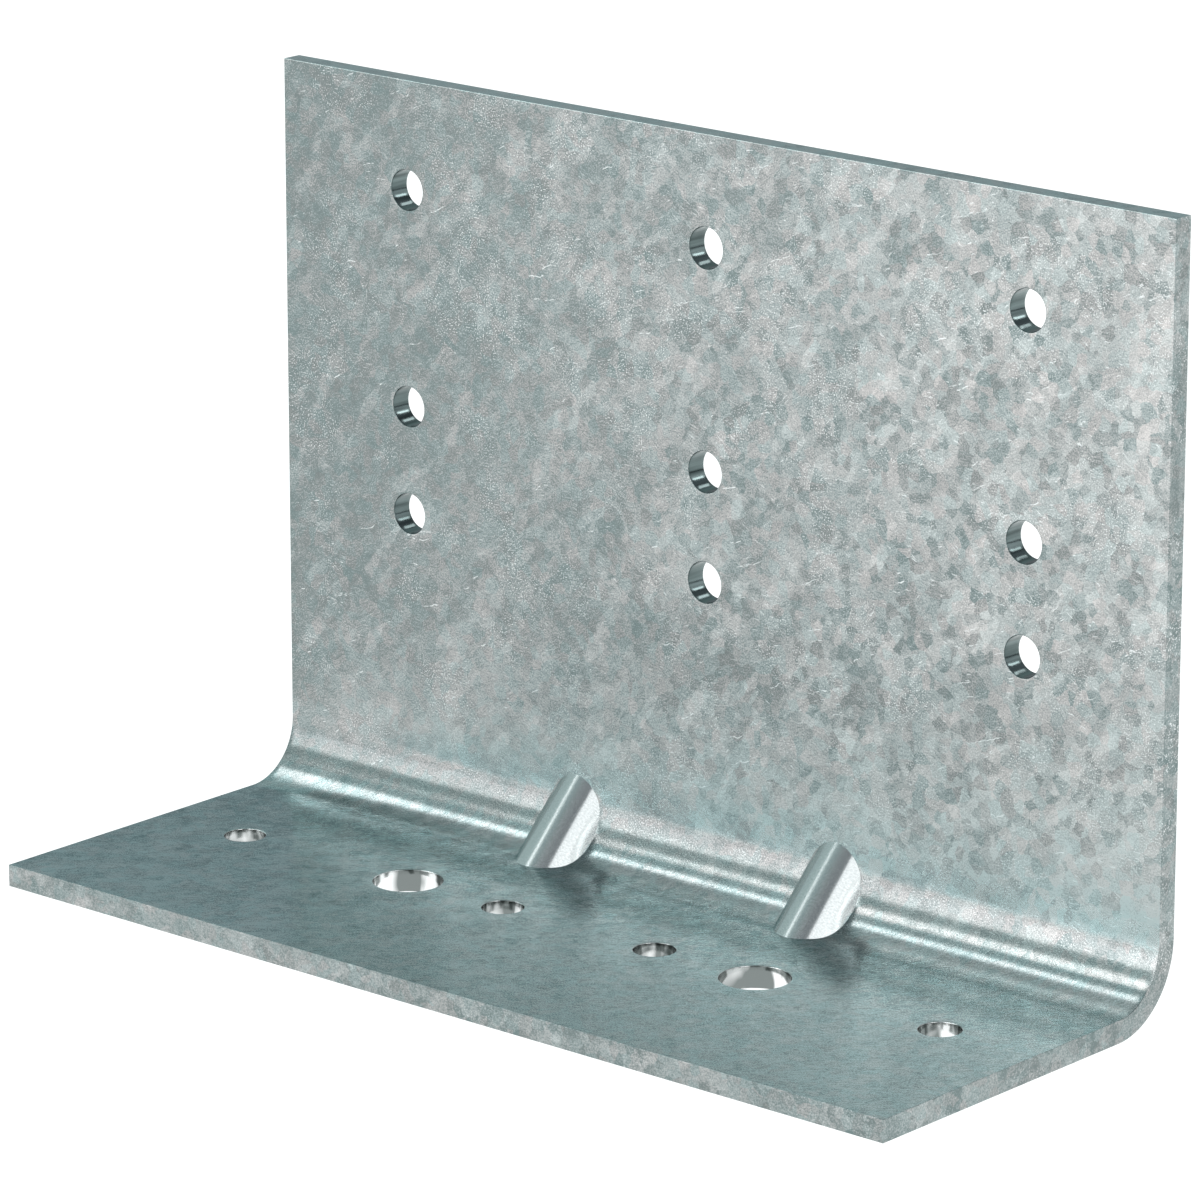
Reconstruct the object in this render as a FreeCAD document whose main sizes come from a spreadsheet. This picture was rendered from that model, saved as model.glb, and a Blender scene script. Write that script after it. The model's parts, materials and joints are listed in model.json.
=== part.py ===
import FreeCAD, Part
import math
import os

import Sketcher

# A bypass framing connector: one zinc-coated steel sheet, punched with its screw and
# anchor holes, folded to a right angle, and stiffened by two half-round gussets that
# are pressed across the inside of the fold and leave a dent each on its outside.
#
# The frame, in millimetres: X runs along the fold, the foot lies on Z = 0 and reaches
# towards -Y, the upright rises along +Z with its outer face towards +Y, and the origin
# is at the middle of the bottom of the part's box.

# Driving sizes, in millimetres, and one angle in degrees
SIZES = {
    # the folded sheet
    "sheet_length": 127.0,
    "upright_height": 88.4,
    "foot_depth": 49.4,
    "sheet_thickness": 2.583,
    "bend_inside_radius": 6.94,
    # three columns of stud screw holes in the upright, in three uneven rows
    "stud_hole_diameter": 4.7625,
    "column_end_margin": 19.05,
    "top_row_margin": 12.7,
    "middle_row_drop": 25.4,
    "bottom_row_drop": 12.7,
    # one row of anchor and pin holes in the foot, the same on both sides of the middle
    "foot_row_setback": 25.4,
    "anchor_hole_diameter": 7.9375,
    "anchor_offset": 25.4,
    "pin_hole_diameter": 4.7625,
    "inner_pin_offset": 11.1125,
    "outer_pin_margin": 12.7,
    # the pressed gussets, with the axis of the half round above the middle of the sheet
    "gusset_offset": 19.05,
    "gusset_radius": 4.2,
    "gusset_rise": 0.42,
    # the dent behind each gusset
    "dent_wall": 2.36,
    "dent_nose_radius": 1.6,
    "dent_half_angle": 30.0,
}

NODE = "connector_angle"
COLUMNS = 3
FOLD_BISECTOR = 45.0
ORIGIN_POINT = (-1, 1)
START, END, CENTRE = 1, 2, 3
Z_UP = FreeCAD.Vector(0, 0, 1)

# Places across the fold along its bisector, from the sharp corner that the outer faces
# would meet in: the middle of the sheet at the middle of the bend, and the gusset's crest
BEND_OUTSIDE = "(Sizes.bend_inside_radius + Sizes.sheet_thickness)"
SHEET_MIDDLE = f"(sqrt(2) * {BEND_OUTSIDE} - Sizes.bend_inside_radius - Sizes.sheet_thickness / 2)"
GUSSET_CREST = f"({SHEET_MIDDLE} + Sizes.gusset_rise + Sizes.gusset_radius)"


def fill_sheet(document):
    """Writes each driving size on a row of its own: its name, and its value with an alias."""
    sheet = document.addObject("Spreadsheet::Sheet", "Sizes")
    for row, (alias, value) in enumerate(SIZES.items(), start=1):
        sheet.set(f"A{row}", alias)
        sheet.set(f"B{row}", str(value))
        sheet.setAlias(f"B{row}", alias)
    document.recompute()


def origin_feature(body, role):
    """The body's own origin plane or axis with this role."""
    return next(f for f in body.Origin.OriginFeatures if f.Role == role)


def attach(datum, plane, offsets=None, turn=0.0):
    """Lays a sketch or datum plane on an origin plane, moved by bound offsets and turned about X."""
    datum.AttachmentSupport = [(plane, "")]
    datum.MapMode = "FlatFace"
    turned = FreeCAD.Rotation(FreeCAD.Vector(1, 0, 0), turn)
    datum.AttachmentOffset = FreeCAD.Placement(FreeCAD.Vector(), turned)
    for axis, expression in (offsets or {}).items():
        datum.setExpression(f"AttachmentOffset.Base.{axis}", expression)


def relate(sketch, kind, *refs):
    """Adds a constraint without a value, such as Coincident or Tangent."""
    sketch.addConstraint(Sketcher.Constraint(kind, *refs))


def bind(sketch, name, expression, constraint):
    """Names a dimension and binds it to the size sheet."""
    index = sketch.addConstraint(constraint)
    sketch.renameConstraint(index, name)
    sketch.setExpression(f"Constraints.{name}", expression)


def span(sketch, name, expression, kind, first, second):
    """Dimensions the way along X or Y from one point to another, at its drawn value."""
    drawn = sketch.getPoint(*second) - sketch.getPoint(*first)
    value = drawn.x if kind == "DistanceX" else drawn.y
    bind(sketch, name, expression, Sketcher.Constraint(kind, *first, *second, value))


def size_circle(sketch, name, expression, circle):
    """Dimensions the diameter of a circle, at its drawn value."""
    drawn = 2 * sketch.Geometry[circle].Radius
    bind(sketch, name, expression, Sketcher.Constraint("Diameter", circle, drawn))


def draw_lines(sketch, points):
    """Adds a line between each two points in a row, and returns their numbers."""
    corners = [FreeCAD.Vector(x, y, 0) for x, y in points]
    pairs = zip(corners, corners[1:])
    return [sketch.addGeometry(Part.LineSegment(*pair), False) for pair in pairs]


def draw_arc(sketch, centre, radius, first_angle, last_angle):
    """Adds an arc that turns anticlockwise between two angles in degrees."""
    circle = Part.Circle(FreeCAD.Vector(*centre, 0), Z_UP, radius)
    arc = Part.ArcOfCircle(circle, math.radians(first_angle), math.radians(last_angle))
    return sketch.addGeometry(arc, False)


def draw_circle(sketch, centre, diameter):
    """Adds a circle for a hole."""
    circle = Part.Circle(FreeCAD.Vector(*centre, 0), Z_UP, diameter / 2)
    return sketch.addGeometry(circle, False)


def folded_sheet(body):
    """The bare angle: its section in the YZ plane, with both faces of the bend about one
    centre, padded to both sides along the fold."""
    half_depth = SIZES["foot_depth"] / 2
    height, thickness = SIZES["upright_height"], SIZES["sheet_thickness"]
    inside = SIZES["bend_inside_radius"]
    outside = inside + thickness
    bend = half_depth - outside

    section = body.newObject("Sketcher::SketchObject", "angle_section")
    attach(section, origin_feature(body, "YZ_Plane"))
    underside, = draw_lines(section, [(-half_depth, 0), (bend, 0)])
    heel = draw_arc(section, (bend, outside), outside, -90, 0)
    outer_face, top_edge, inner_face = draw_lines(section, [
        (half_depth, outside),
        (half_depth, height),
        (half_depth - thickness, height),
        (half_depth - thickness, outside),
    ])
    inner_bend = draw_arc(section, (bend, outside), inside, -90, 0)
    foot_face, front_edge = draw_lines(section, [
        (bend, thickness),
        (-half_depth, thickness),
        (-half_depth, 0),
    ])

    relate(section, "Tangent", underside, END, heel, START)
    relate(section, "Tangent", heel, END, outer_face, START)
    relate(section, "Tangent", inner_face, END, inner_bend, END)
    relate(section, "Tangent", inner_bend, START, foot_face, START)
    relate(section, "Coincident", heel, CENTRE, inner_bend, CENTRE)
    for line, following in (
        (outer_face, top_edge),
        (top_edge, inner_face),
        (foot_face, front_edge),
        (front_edge, underside),
    ):
        relate(section, "Coincident", line, END, following, START)
    for line in (underside, top_edge, foot_face):
        relate(section, "Horizontal", line)
    for line in (outer_face, inner_face, front_edge):
        relate(section, "Vertical", line)

    corner, back = (underside, START), (outer_face, START)
    relate(section, "PointOnObject", *corner, ORIGIN_POINT[0])
    span(section, "half_depth", "Sizes.foot_depth / 2", "DistanceX", ORIGIN_POINT, back)
    span(section, "depth", "Sizes.foot_depth", "DistanceX", corner, back)
    span(section, "height", "Sizes.upright_height", "DistanceY", corner, (outer_face, END))
    span(section, "thickness", "Sizes.sheet_thickness", "DistanceY", corner, (front_edge, START))
    radius = Sketcher.Constraint("Radius", inner_bend, inside)
    bind(section, "inside_radius", "Sizes.bend_inside_radius", radius)

    pad = body.newObject("PartDesign::Pad", "folded_sheet")
    pad.Profile = section
    pad.SideType = "Symmetric"
    pad.setExpression("Length", "Sizes.sheet_length")
    return pad


def fold_sketch(body, name):
    """A sketch square to the fold's bisector: its X runs along the fold, and its Y along the
    bisector from the sharp corner that the outer faces would meet in."""
    sketch = body.newObject("Sketcher::SketchObject", name)
    plane = origin_feature(body, "XZ_Plane")
    attach(sketch, plane, {"z": "-Sizes.foot_depth / 2"}, FOLD_BISECTOR)
    return sketch


def sheet_middle():
    """How far the middle of the sheet lies from the sharp corner, at the middle of the bend."""
    inside, thickness = SIZES["bend_inside_radius"], SIZES["sheet_thickness"]
    return math.sqrt(2) * (inside + thickness) - inside - thickness / 2


def gusset(body):
    """One pressed gusset: a half round on short straight sides, run across the fold from the
    middle of the upright's thickness to the middle of the foot's."""
    offset, radius = SIZES["gusset_offset"], SIZES["gusset_radius"]
    base = sheet_middle()
    axis = base + SIZES["gusset_rise"]

    section = fold_sketch(body, "gusset_section")
    crown = draw_arc(section, (offset, axis), radius, 0, 180)
    left, bottom, right = draw_lines(section, [
        (offset - radius, axis),
        (offset - radius, base),
        (offset + radius, base),
        (offset + radius, axis),
    ])
    relate(section, "Tangent", crown, END, left, START)
    relate(section, "Tangent", right, END, crown, START)
    relate(section, "Coincident", left, END, bottom, START)
    relate(section, "Coincident", bottom, END, right, START)
    relate(section, "Vertical", left)
    relate(section, "Horizontal", bottom)
    relate(section, "Vertical", right)
    centre = (crown, CENTRE)
    span(section, "offset", "Sizes.gusset_offset", "DistanceX", ORIGIN_POINT, centre)
    span(section, "base", SHEET_MIDDLE, "DistanceY", ORIGIN_POINT, (bottom, START))
    span(section, "rise", "Sizes.gusset_rise", "DistanceY", (bottom, START), centre)
    bind(section, "radius", "Sizes.gusset_radius", Sketcher.Constraint("Radius", crown, radius))

    foot_middle = body.newObject("PartDesign::Plane", "foot_middle")
    attach(foot_middle, origin_feature(body, "XY_Plane"), {"z": "Sizes.sheet_thickness / 2"})
    upright_middle = body.newObject("PartDesign::Plane", "upright_middle")
    inwards = "(Sizes.sheet_thickness - Sizes.foot_depth) / 2"
    attach(upright_middle, origin_feature(body, "XZ_Plane"), {"z": inwards})

    pad = body.newObject("PartDesign::Pad", "gusset")
    pad.Profile = section
    pad.SideType = "Two sides"
    pad.Type = "UpToFace"
    pad.UpToFace = (foot_middle, [""])
    pad.Type2 = "UpToFace"
    pad.UpToFace2 = (upright_middle, [""])
    return pad


def gusset_dent(body):
    """The dent that the press leaves behind a gusset: a round-nosed groove across the heel,
    with flanks that open outwards, cut through between the two outer faces."""
    offset, radius = SIZES["gusset_offset"], SIZES["dent_nose_radius"]
    crest = sheet_middle() + SIZES["gusset_rise"] + SIZES["gusset_radius"]
    nose = crest - SIZES["dent_wall"] - radius
    slope = SIZES["dent_half_angle"]
    side = radius * math.cos(math.radians(slope))
    shoulder = nose + radius * math.sin(math.radians(slope))
    mouth = side + shoulder * math.tan(math.radians(slope))

    section = fold_sketch(body, "dent_section")
    crown = draw_arc(section, (offset, nose), radius, slope, 180 - slope)
    left, bottom, right = draw_lines(section, [
        (offset - side, shoulder),
        (offset - mouth, 0),
        (offset + mouth, 0),
        (offset + side, shoulder),
    ])
    relate(section, "Tangent", crown, END, left, START)
    relate(section, "Tangent", right, END, crown, START)
    relate(section, "Coincident", left, END, bottom, START)
    relate(section, "Coincident", bottom, END, right, START)
    relate(section, "PointOnObject", bottom, START, ORIGIN_POINT[0])
    relate(section, "PointOnObject", bottom, END, ORIGIN_POINT[0])
    centre = (crown, CENTRE)
    span(section, "offset", "Sizes.gusset_offset", "DistanceX", ORIGIN_POINT, centre)
    height = f"{GUSSET_CREST} - Sizes.dent_wall - Sizes.dent_nose_radius"
    span(section, "height", height, "DistanceY", ORIGIN_POINT, centre)
    nose_radius = Sketcher.Constraint("Radius", crown, radius)
    bind(section, "nose_radius", "Sizes.dent_nose_radius", nose_radius)
    for name, first, second in (("left_flank", bottom, left), ("right_flank", right, bottom)):
        opening = math.radians(90 - slope)
        angle = Sketcher.Constraint("Angle", first, START, second, END, opening)
        bind(section, name, "(90 - Sizes.dent_half_angle) * 1 deg", angle)

    pocket = body.newObject("PartDesign::Pocket", "gusset_dent")
    pocket.Profile = section
    pocket.Type = "ThroughAll"
    pocket.SideType = "Symmetric"
    return pocket


def foot_holes(body):
    """The right half of the row of holes in the foot: the inner pin hole, the anchor hole and
    the outer pin hole, drawn from the middle of the foot's front edge."""
    row = SIZES["foot_row_setback"]
    outer = SIZES["sheet_length"] / 2 - SIZES["outer_pin_margin"]
    outer_place = "Sizes.sheet_length / 2 - Sizes.outer_pin_margin"
    holes = (
        ("inner_pin", SIZES["inner_pin_offset"], "Sizes.inner_pin_offset", "pin_hole_diameter"),
        ("anchor", SIZES["anchor_offset"], "Sizes.anchor_offset", "anchor_hole_diameter"),
        ("outer_pin", outer, outer_place, "pin_hole_diameter"),
    )
    layout = body.newObject("Sketcher::SketchObject", "foot_hole_layout")
    attach(layout, origin_feature(body, "XY_Plane"), {"y": "-Sizes.foot_depth / 2"})
    for name, drawn, place, diameter in holes:
        hole = draw_circle(layout, (drawn, row), SIZES[diameter])
        centre = (hole, CENTRE)
        span(layout, f"{name}_place", place, "DistanceX", ORIGIN_POINT, centre)
        span(layout, f"{name}_row", "Sizes.foot_row_setback", "DistanceY", ORIGIN_POINT, centre)
        size_circle(layout, f"{name}_diameter", f"Sizes.{diameter}", hole)

    pocket = body.newObject("PartDesign::Pocket", "foot_holes")
    pocket.Profile = layout
    pocket.Type = "ThroughAll"
    pocket.SideType = "Symmetric"
    return pocket


def stud_holes(body):
    """One column of screw holes near the upright's left end, with its rows set down from the
    top edge, repeated along the fold to the matching place at the right end."""
    column = SIZES["sheet_length"] / 2 - SIZES["column_end_margin"]
    top = SIZES["upright_height"] - SIZES["top_row_margin"]
    middle = top - SIZES["middle_row_drop"]
    bottom = middle - SIZES["bottom_row_drop"]

    layout = body.newObject("Sketcher::SketchObject", "stud_hole_column")
    attach(layout, origin_feature(body, "XZ_Plane"))
    place = "Sizes.sheet_length / 2 - Sizes.column_end_margin"
    centres = []
    for name, height in (("top", top), ("middle", middle), ("bottom", bottom)):
        hole = draw_circle(layout, (-column, height), SIZES["stud_hole_diameter"])
        centres.append((hole, CENTRE))
        span(layout, f"{name}_column", place, "DistanceX", centres[-1], ORIGIN_POINT)
        size_circle(layout, f"{name}_diameter", "Sizes.stud_hole_diameter", hole)
    top_centre, middle_centre, bottom_centre = centres
    top_place = "Sizes.upright_height - Sizes.top_row_margin"
    span(layout, "top_row", top_place, "DistanceY", ORIGIN_POINT, top_centre)
    span(layout, "middle_row", "Sizes.middle_row_drop", "DistanceY", middle_centre, top_centre)
    span(layout, "bottom_row", "Sizes.bottom_row_drop", "DistanceY", bottom_centre, middle_centre)

    pocket = body.newObject("PartDesign::Pocket", "stud_hole_pocket")
    pocket.Profile = layout
    pocket.Type = "ThroughAll"
    pocket.SideType = "Symmetric"
    body.Document.recompute()

    columns = body.newObject("PartDesign::LinearPattern", "stud_hole_columns")
    columns.Originals = [pocket]
    columns.Direction = (origin_feature(body, "X_Axis"), [""])
    columns.setExpression("Length", "Sizes.sheet_length - 2 * Sizes.column_end_margin")
    columns.Occurrences = COLUMNS
    body.Tip = columns
    return columns


def mirror_left(body, features):
    """Repeats features of the right half about the middle of the sheet's length."""
    mirrored = body.newObject("PartDesign::Mirrored", "left_half")
    mirrored.Originals = features
    mirrored.MirrorPlane = (origin_feature(body, "YZ_Plane"), [""])
    body.Tip = mirrored
    return mirrored


def check_document(document):
    """Stops at the first object that failed to build."""
    for thing in document.Objects:
        faults = {"Invalid", "Error"} & set(thing.State)
        if faults:
            raise RuntimeError(f"{thing.Name} did not build: {sorted(faults)}")


def check_steps(steps):
    """Stops if a feature did not change the volume the way it has to: +1 adds and -1 cuts."""
    volume = 0.0
    for feature, sign in steps:
        change = feature.Shape.Volume - volume
        print(f"{feature.Name}: volume {feature.Shape.Volume:.1f}, change {change:+.1f} mm3")
        if sign and sign * change <= 0:
            raise RuntimeError(f"{feature.Name} changed the volume the wrong way")
        volume = feature.Shape.Volume


document = FreeCAD.newDocument("framing_connector")
fill_sheet(document)
body = document.addObject("PartDesign::Body", "Angle")
body.Label = NODE

steps = []
for build, sign in ((folded_sheet, 1), (gusset, 1), (gusset_dent, -1), (foot_holes, -1)):
    steps.append((build(body), sign))
    document.recompute()
right_half = [feature for feature, _ in steps[1:]]
steps.append((mirror_left(body, right_half), 0))
document.recompute()
steps.append((stud_holes(body), -1))
document.recompute()

check_document(document)
check_steps(steps)
solid = body.Shape
if solid.isNull() or not solid.isValid() or len(solid.Solids) != 1:
    raise RuntimeError(f"{NODE} is not one sound solid")

os.makedirs("parts", exist_ok=True)
solid.exportStep(f"parts/{body.Label}.step")
box = solid.optimalBoundingBox()
print(f"{NODE}: {box.XLength:.3f} x {box.YLength:.3f} x {box.ZLength:.3f} mm")
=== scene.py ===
# %% [markdown]
# # A bypass framing connector
#
# The object is one stamping: a blank of zinc-coated sheet steel, punched with fifteen round holes, folded once to
# a right angle and pressed twice across the fold, so that two half-round gussets stiffen the corner. The packed
# model holds its true size, so it is loaded first, and everything made here is fitted to it.

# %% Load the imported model
import json
import math

import bmesh
import bpy
import numpy as np
from mathutils import Matrix, Quaternion, Vector


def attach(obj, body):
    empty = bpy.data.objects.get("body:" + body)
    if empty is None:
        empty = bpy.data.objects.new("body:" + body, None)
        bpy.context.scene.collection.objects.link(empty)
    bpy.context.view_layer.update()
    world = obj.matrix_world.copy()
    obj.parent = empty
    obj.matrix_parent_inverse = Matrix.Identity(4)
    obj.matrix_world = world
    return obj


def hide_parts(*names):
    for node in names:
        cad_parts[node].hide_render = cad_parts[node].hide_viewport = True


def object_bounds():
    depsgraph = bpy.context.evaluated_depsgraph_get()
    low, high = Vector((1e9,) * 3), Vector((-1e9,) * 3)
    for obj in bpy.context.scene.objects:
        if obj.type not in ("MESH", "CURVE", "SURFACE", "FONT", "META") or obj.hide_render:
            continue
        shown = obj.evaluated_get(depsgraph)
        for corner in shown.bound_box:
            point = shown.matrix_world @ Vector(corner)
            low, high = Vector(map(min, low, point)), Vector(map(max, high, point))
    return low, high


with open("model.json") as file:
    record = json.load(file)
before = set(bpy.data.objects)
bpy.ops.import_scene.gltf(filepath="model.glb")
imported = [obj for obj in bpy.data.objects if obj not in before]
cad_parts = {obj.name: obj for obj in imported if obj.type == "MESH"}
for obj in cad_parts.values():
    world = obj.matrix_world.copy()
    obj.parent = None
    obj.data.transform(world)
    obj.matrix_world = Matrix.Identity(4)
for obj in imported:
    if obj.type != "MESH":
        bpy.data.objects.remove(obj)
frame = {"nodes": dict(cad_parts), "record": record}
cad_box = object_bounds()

MM = 0.001
ROOT_HALF = math.sqrt(0.5)
print("packed nodes:", sorted(frame["nodes"]))

# %% [markdown]
# ## Sizes
#
# Blender works in metres and a sheet worker in millimetres, so every size here is in millimetres and the mesh is
# scaled once, at the end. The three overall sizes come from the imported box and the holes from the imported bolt
# patterns. What a box can't say, such as the sheet and the bend, is named here.

# %% Sizes of the sheet, the bend and the two pressings
low_corner, high_corner = (np.array(corner) / MM for corner in cad_box)
LENGTH, DEPTH, HEIGHT = high_corner - low_corner
FRONT_Y, BACK_Y = low_corner[1], high_corner[1]

SHEET = 2.583
BEND_INSIDE = 6.94
BEND_OUTSIDE = BEND_INSIDE + SHEET
BEND_CENTRE_Y = BACK_Y - BEND_OUTSIDE
BEND_CENTRE_Z = BEND_OUTSIDE

UPRIGHT_FLAT = HEIGHT - BEND_OUTSIDE
BEND_ARC = BEND_INSIDE * math.pi / 2
FOOT_FLAT = DEPTH - BEND_OUTSIDE
BLANK = UPRIGHT_FLAT + BEND_ARC + FOOT_FLAT
FOLD_MIDDLE = UPRIGHT_FLAT + BEND_ARC / 2

GUSSET_OFFSET = 19.05
GUSSET_RADIUS = 4.2
GUSSET_RISE = 0.42
DENT_WALL = 2.36
DENT_NOSE = 1.6
DENT_HALF_ANGLE = math.radians(30.0)

EDGE_ROUND = 0.07
print(f"sheet {LENGTH:.2f} x {DEPTH:.2f} x {HEIGHT:.2f} mm, blank {BLANK:.2f} mm long")

# %% [markdown]
# ## The holes
#
# A bolt pattern in the record is a place, a direction and one or two spacings. A pattern that points down is
# punched through the foot, and one that points back is punched through the upright. On the flat blank a hole is only a
# centre and a radius, which is how the punch meets it. The middle hole belongs to two patterns, so repeats go.


# %% Read the holes from the bolt patterns
def blank_holes(mounts):
    """Each hole as (x, v, radius): v is its distance down the blank from the upright's top edge."""
    found = set()
    for mount in mounts:
        if mount["kind"] != "bolt_pattern":
            continue
        centre_x, centre_y, centre_z = np.array(mount["pos_m"]) / MM
        sizes = mount["dims"]
        across = sizes.get("spacing_x_mm", 0.0) / 2
        along = sizes.get("spacing_y_mm", 0.0) / 2
        in_upright = mount["axis"][1] > 0.5
        middle = HEIGHT - centre_z if in_upright else BLANK - (centre_y - FRONT_Y)
        for x in {centre_x - across, centre_x + across}:
            for v in {middle - along, middle + along}:
                found.add((round(x, 4), round(v, 4), sizes["hole_r_mm"]))
    return sorted(found)


holes = blank_holes(frame["record"]["mounts"])
print(len(holes), "holes, radii", sorted({hole[2] for hole in holes}))

# %% [markdown]
# ## Folding the blank
#
# A press brake bends a flat blank over a nose. The inner face keeps its length in this drawing, so a point of the
# blank is (x, v, w): along the fold, down the inner face from the top edge, and into the sheet. Making the whole
# surface flat and folding it with one function keeps every hole and edge in step. The same could be done
# with a Simple Deform modifier, but a formula gives the exact radius and leaves nothing live on the piece.


# %% Fold
def on_blank(x, v, w):
    """Arrays of the three measures put together as points of the blank."""
    return np.stack(np.broadcast_arrays(x, v, w), axis=-1)


def fold(blank):
    """The blank's points (x, v, w) on the folded sheet.

    The turn is nothing on the upright, grows with the arc over the bend, and is a quarter turn on the foot. The
    point lies the inside radius plus w from the bend's centre in the turned direction, moved up by what is left
    of the upright or forward by what is past the bend.
    """
    x, v, w = np.moveaxis(blank, -1, 0)
    past = v - UPRIGHT_FLAT
    turn = np.clip(past / BEND_INSIDE, 0.0, math.pi / 2)
    reach = BEND_INSIDE + w
    y = BEND_CENTRE_Y + reach * np.cos(turn) - np.maximum(past - BEND_ARC, 0.0)
    z = BEND_CENTRE_Z - reach * np.sin(turn) - np.minimum(past, 0.0)
    return np.stack([x, y, z], axis=-1)


corners = fold(on_blank(0.0, np.array([0.0, BLANK]), SHEET))
print("heel side of the top and front edges, mm:", corners.round(3).tolist())

# %% [markdown]
# ## The grid of the blank
#
# Every hole sits on a whole number of thirty-seconds of an inch from the middle and from an edge, so a grid of that
# pitch has a line through each centre. The lines nearest the edges stop short by the edge rounding. A hole or a
# gusset takes a rectangular block of cells out of the grid, and a patch of rings fills the block again.

# %% Grid lines, and the cells that are left
PITCH = 25.4 / 32
BEND_STEPS = 36

across_lines = np.linspace(-LENGTH / 2, LENGTH / 2, round(LENGTH / PITCH) + 1)
across_lines[[0, -1]] += (EDGE_ROUND, -EDGE_ROUND)
upright_lines = np.arange(0.0, UPRIGHT_FLAT - PITCH / 4, PITCH)
bend_lines = UPRIGHT_FLAT + np.linspace(0.0, BEND_ARC, BEND_STEPS + 1)
foot_lines = BLANK - np.arange(0.0, FOOT_FLAT - PITCH / 8, PITCH)[::-1]
down_lines = np.concatenate([upright_lines, bend_lines, foot_lines])
down_lines[[0, -1]] += (EDGE_ROUND, -EDGE_ROUND)
cell_left = np.ones((len(across_lines) - 1, len(down_lines) - 1), bool)


def nearest(lines, place):
    """Index of the grid line that lies nearest to a place."""
    return int(np.abs(lines - place).argmin())


def take_block(x, v, half_x, half_v):
    """Takes a block of cells out of the grid; returns its ring of corners, in order, as (x, v) and as fractions.

    The ring runs along the low-v side, up the high-x side, back and down. The fractions are -1 to 1 on each side.
    """
    left, right = nearest(across_lines, x - half_x), nearest(across_lines, x + half_x)
    top, bottom = nearest(down_lines, v - half_v), nearest(down_lines, v + half_v)
    cell_left[left:right, top:bottom] = False
    wide, tall = right - left, bottom - top
    i = np.concatenate([np.arange(wide), np.full(tall, wide), np.arange(wide, 0, -1), np.zeros(tall, int)])
    j = np.concatenate([np.zeros(wide, int), np.arange(tall), np.full(wide, tall), np.arange(tall, 0, -1)])
    ring = np.stack([across_lines[left + i], down_lines[top + j]], axis=-1)
    return ring, (wide, tall), np.stack([2 * i / wide - 1, 2 * j / tall - 1], axis=-1)


print("grid of", cell_left.shape, "cells before the blocks are taken out")

# %% [markdown]
# ## Patches
#
# Everything in this mesh is one kind of thing: a rectangular array of points, joined to its neighbours in quads.
# Some arrays close on themselves, like the wall of a hole. Patches that meet repeat the points of their common
# border, and those doubles are merged once at the end. Each patch carries the number of its finish.

# %% Collect patches
FACE, FOOT, EDGE, TOP_EDGE, PRESSED, UPRIGHT_BORE, FOOT_BORE = range(7)
patches = []


def add_patch(blank, finish, closed=False, keep=None, points=None):
    """Quads between neighbouring rows and columns of an array of the blank's points, which are folded unless their
    places are given. A closed patch joins its last column to its first, and keep says which quads stay."""
    points = fold(blank) if points is None else points
    rows, columns = points.shape[:2]
    index = np.arange(rows * columns).reshape(rows, columns)
    if closed:
        index = np.concatenate([index, index[:, :1]], axis=1)
    quads = np.stack([index[:-1, :-1], index[1:, :-1], index[1:, 1:], index[:-1, 1:]], axis=-1)
    quads = quads[keep] if keep is not None else quads.reshape(-1, 4)
    blank = blank.reshape(-1, 3)
    # Faces past the middle of the fold take the foot's finish, whose zinc is painted paler.
    past_fold = blank[quads, 1].mean(axis=1) > FOLD_MIDDLE
    finishes = np.where(past_fold & (finish == FACE), FOOT, finish)
    patches.append((points.reshape(-1, 3), blank, quads, finishes))
    return len(quads)


def edge_profile(steps=4):
    """The rounded edge of the sheet as (outward, w): a quarter arc, the cut wall, and a quarter arc."""
    turn = np.linspace(0.0, math.pi / 2, steps + 1)
    outward = EDGE_ROUND * np.sin(turn)
    into = EDGE_ROUND * (1.0 - np.cos(turn))
    wall = np.linspace(EDGE_ROUND, SHEET - EDGE_ROUND, 5)[1:-1]
    across = np.concatenate([outward, np.full(len(wall), EDGE_ROUND), outward[::-1]])
    through = np.concatenate([into, wall, SHEET - into[::-1]])
    return across, through


edge_out, edge_in = edge_profile()
print("edge profile of", len(edge_out), "points")

# %% [markdown]
# ## Punched holes
#
# A punch rolls the sheet over a little where it enters, and leaves a straight burnished wall. Each hole is a block
# whose rings shrink from the block's square to the circle, on both faces, and the edge profile carried round the
# circle for the wall between them. A boolean cut would leave long thin triangles that show in a reflection.

# %% Make the holes
HOLE_RINGS = 6
HOLE_MARGIN = 2.2


def make_hole(x, v, radius):
    """Rings from a square to a circle: each point goes straight from the square's ring to the circle's, where the
    angles are even and start at the square's first corner."""
    half = PITCH * math.ceil((radius + HOLE_MARGIN) / PITCH)
    ring, _, _ = take_block(x, v, half, half)
    angle = np.linspace(-0.75 * math.pi, 1.25 * math.pi, len(ring), endpoint=False)
    way = np.stack([np.cos(angle), np.sin(angle)], axis=-1)
    centre = np.array([x, v])
    rim = centre + (radius + EDGE_ROUND) * way
    share = np.linspace(0.0, 1.0, HOLE_RINGS + 1)[:, None, None] ** 0.8
    flat = ring + (rim - ring) * share
    for w in (0.0, SHEET):
        add_patch(on_blank(flat[..., 0], flat[..., 1], w), FACE, closed=True)
    from_centre = (radius + EDGE_ROUND - edge_out)[:, None, None]
    wall = centre + from_centre * way
    # Hole walls in the upright are painted dark, painted shade, and those in the foot near white, painted light.
    finish = UPRIGHT_BORE if v < UPRIGHT_FLAT else FOOT_BORE
    add_patch(on_blank(wall[..., 0], wall[..., 1], edge_in[:, None]), finish, closed=True)
    return len(ring)


for hole in holes:
    sides = make_hole(*hole)
print("last hole has", sides, "sides")

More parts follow.
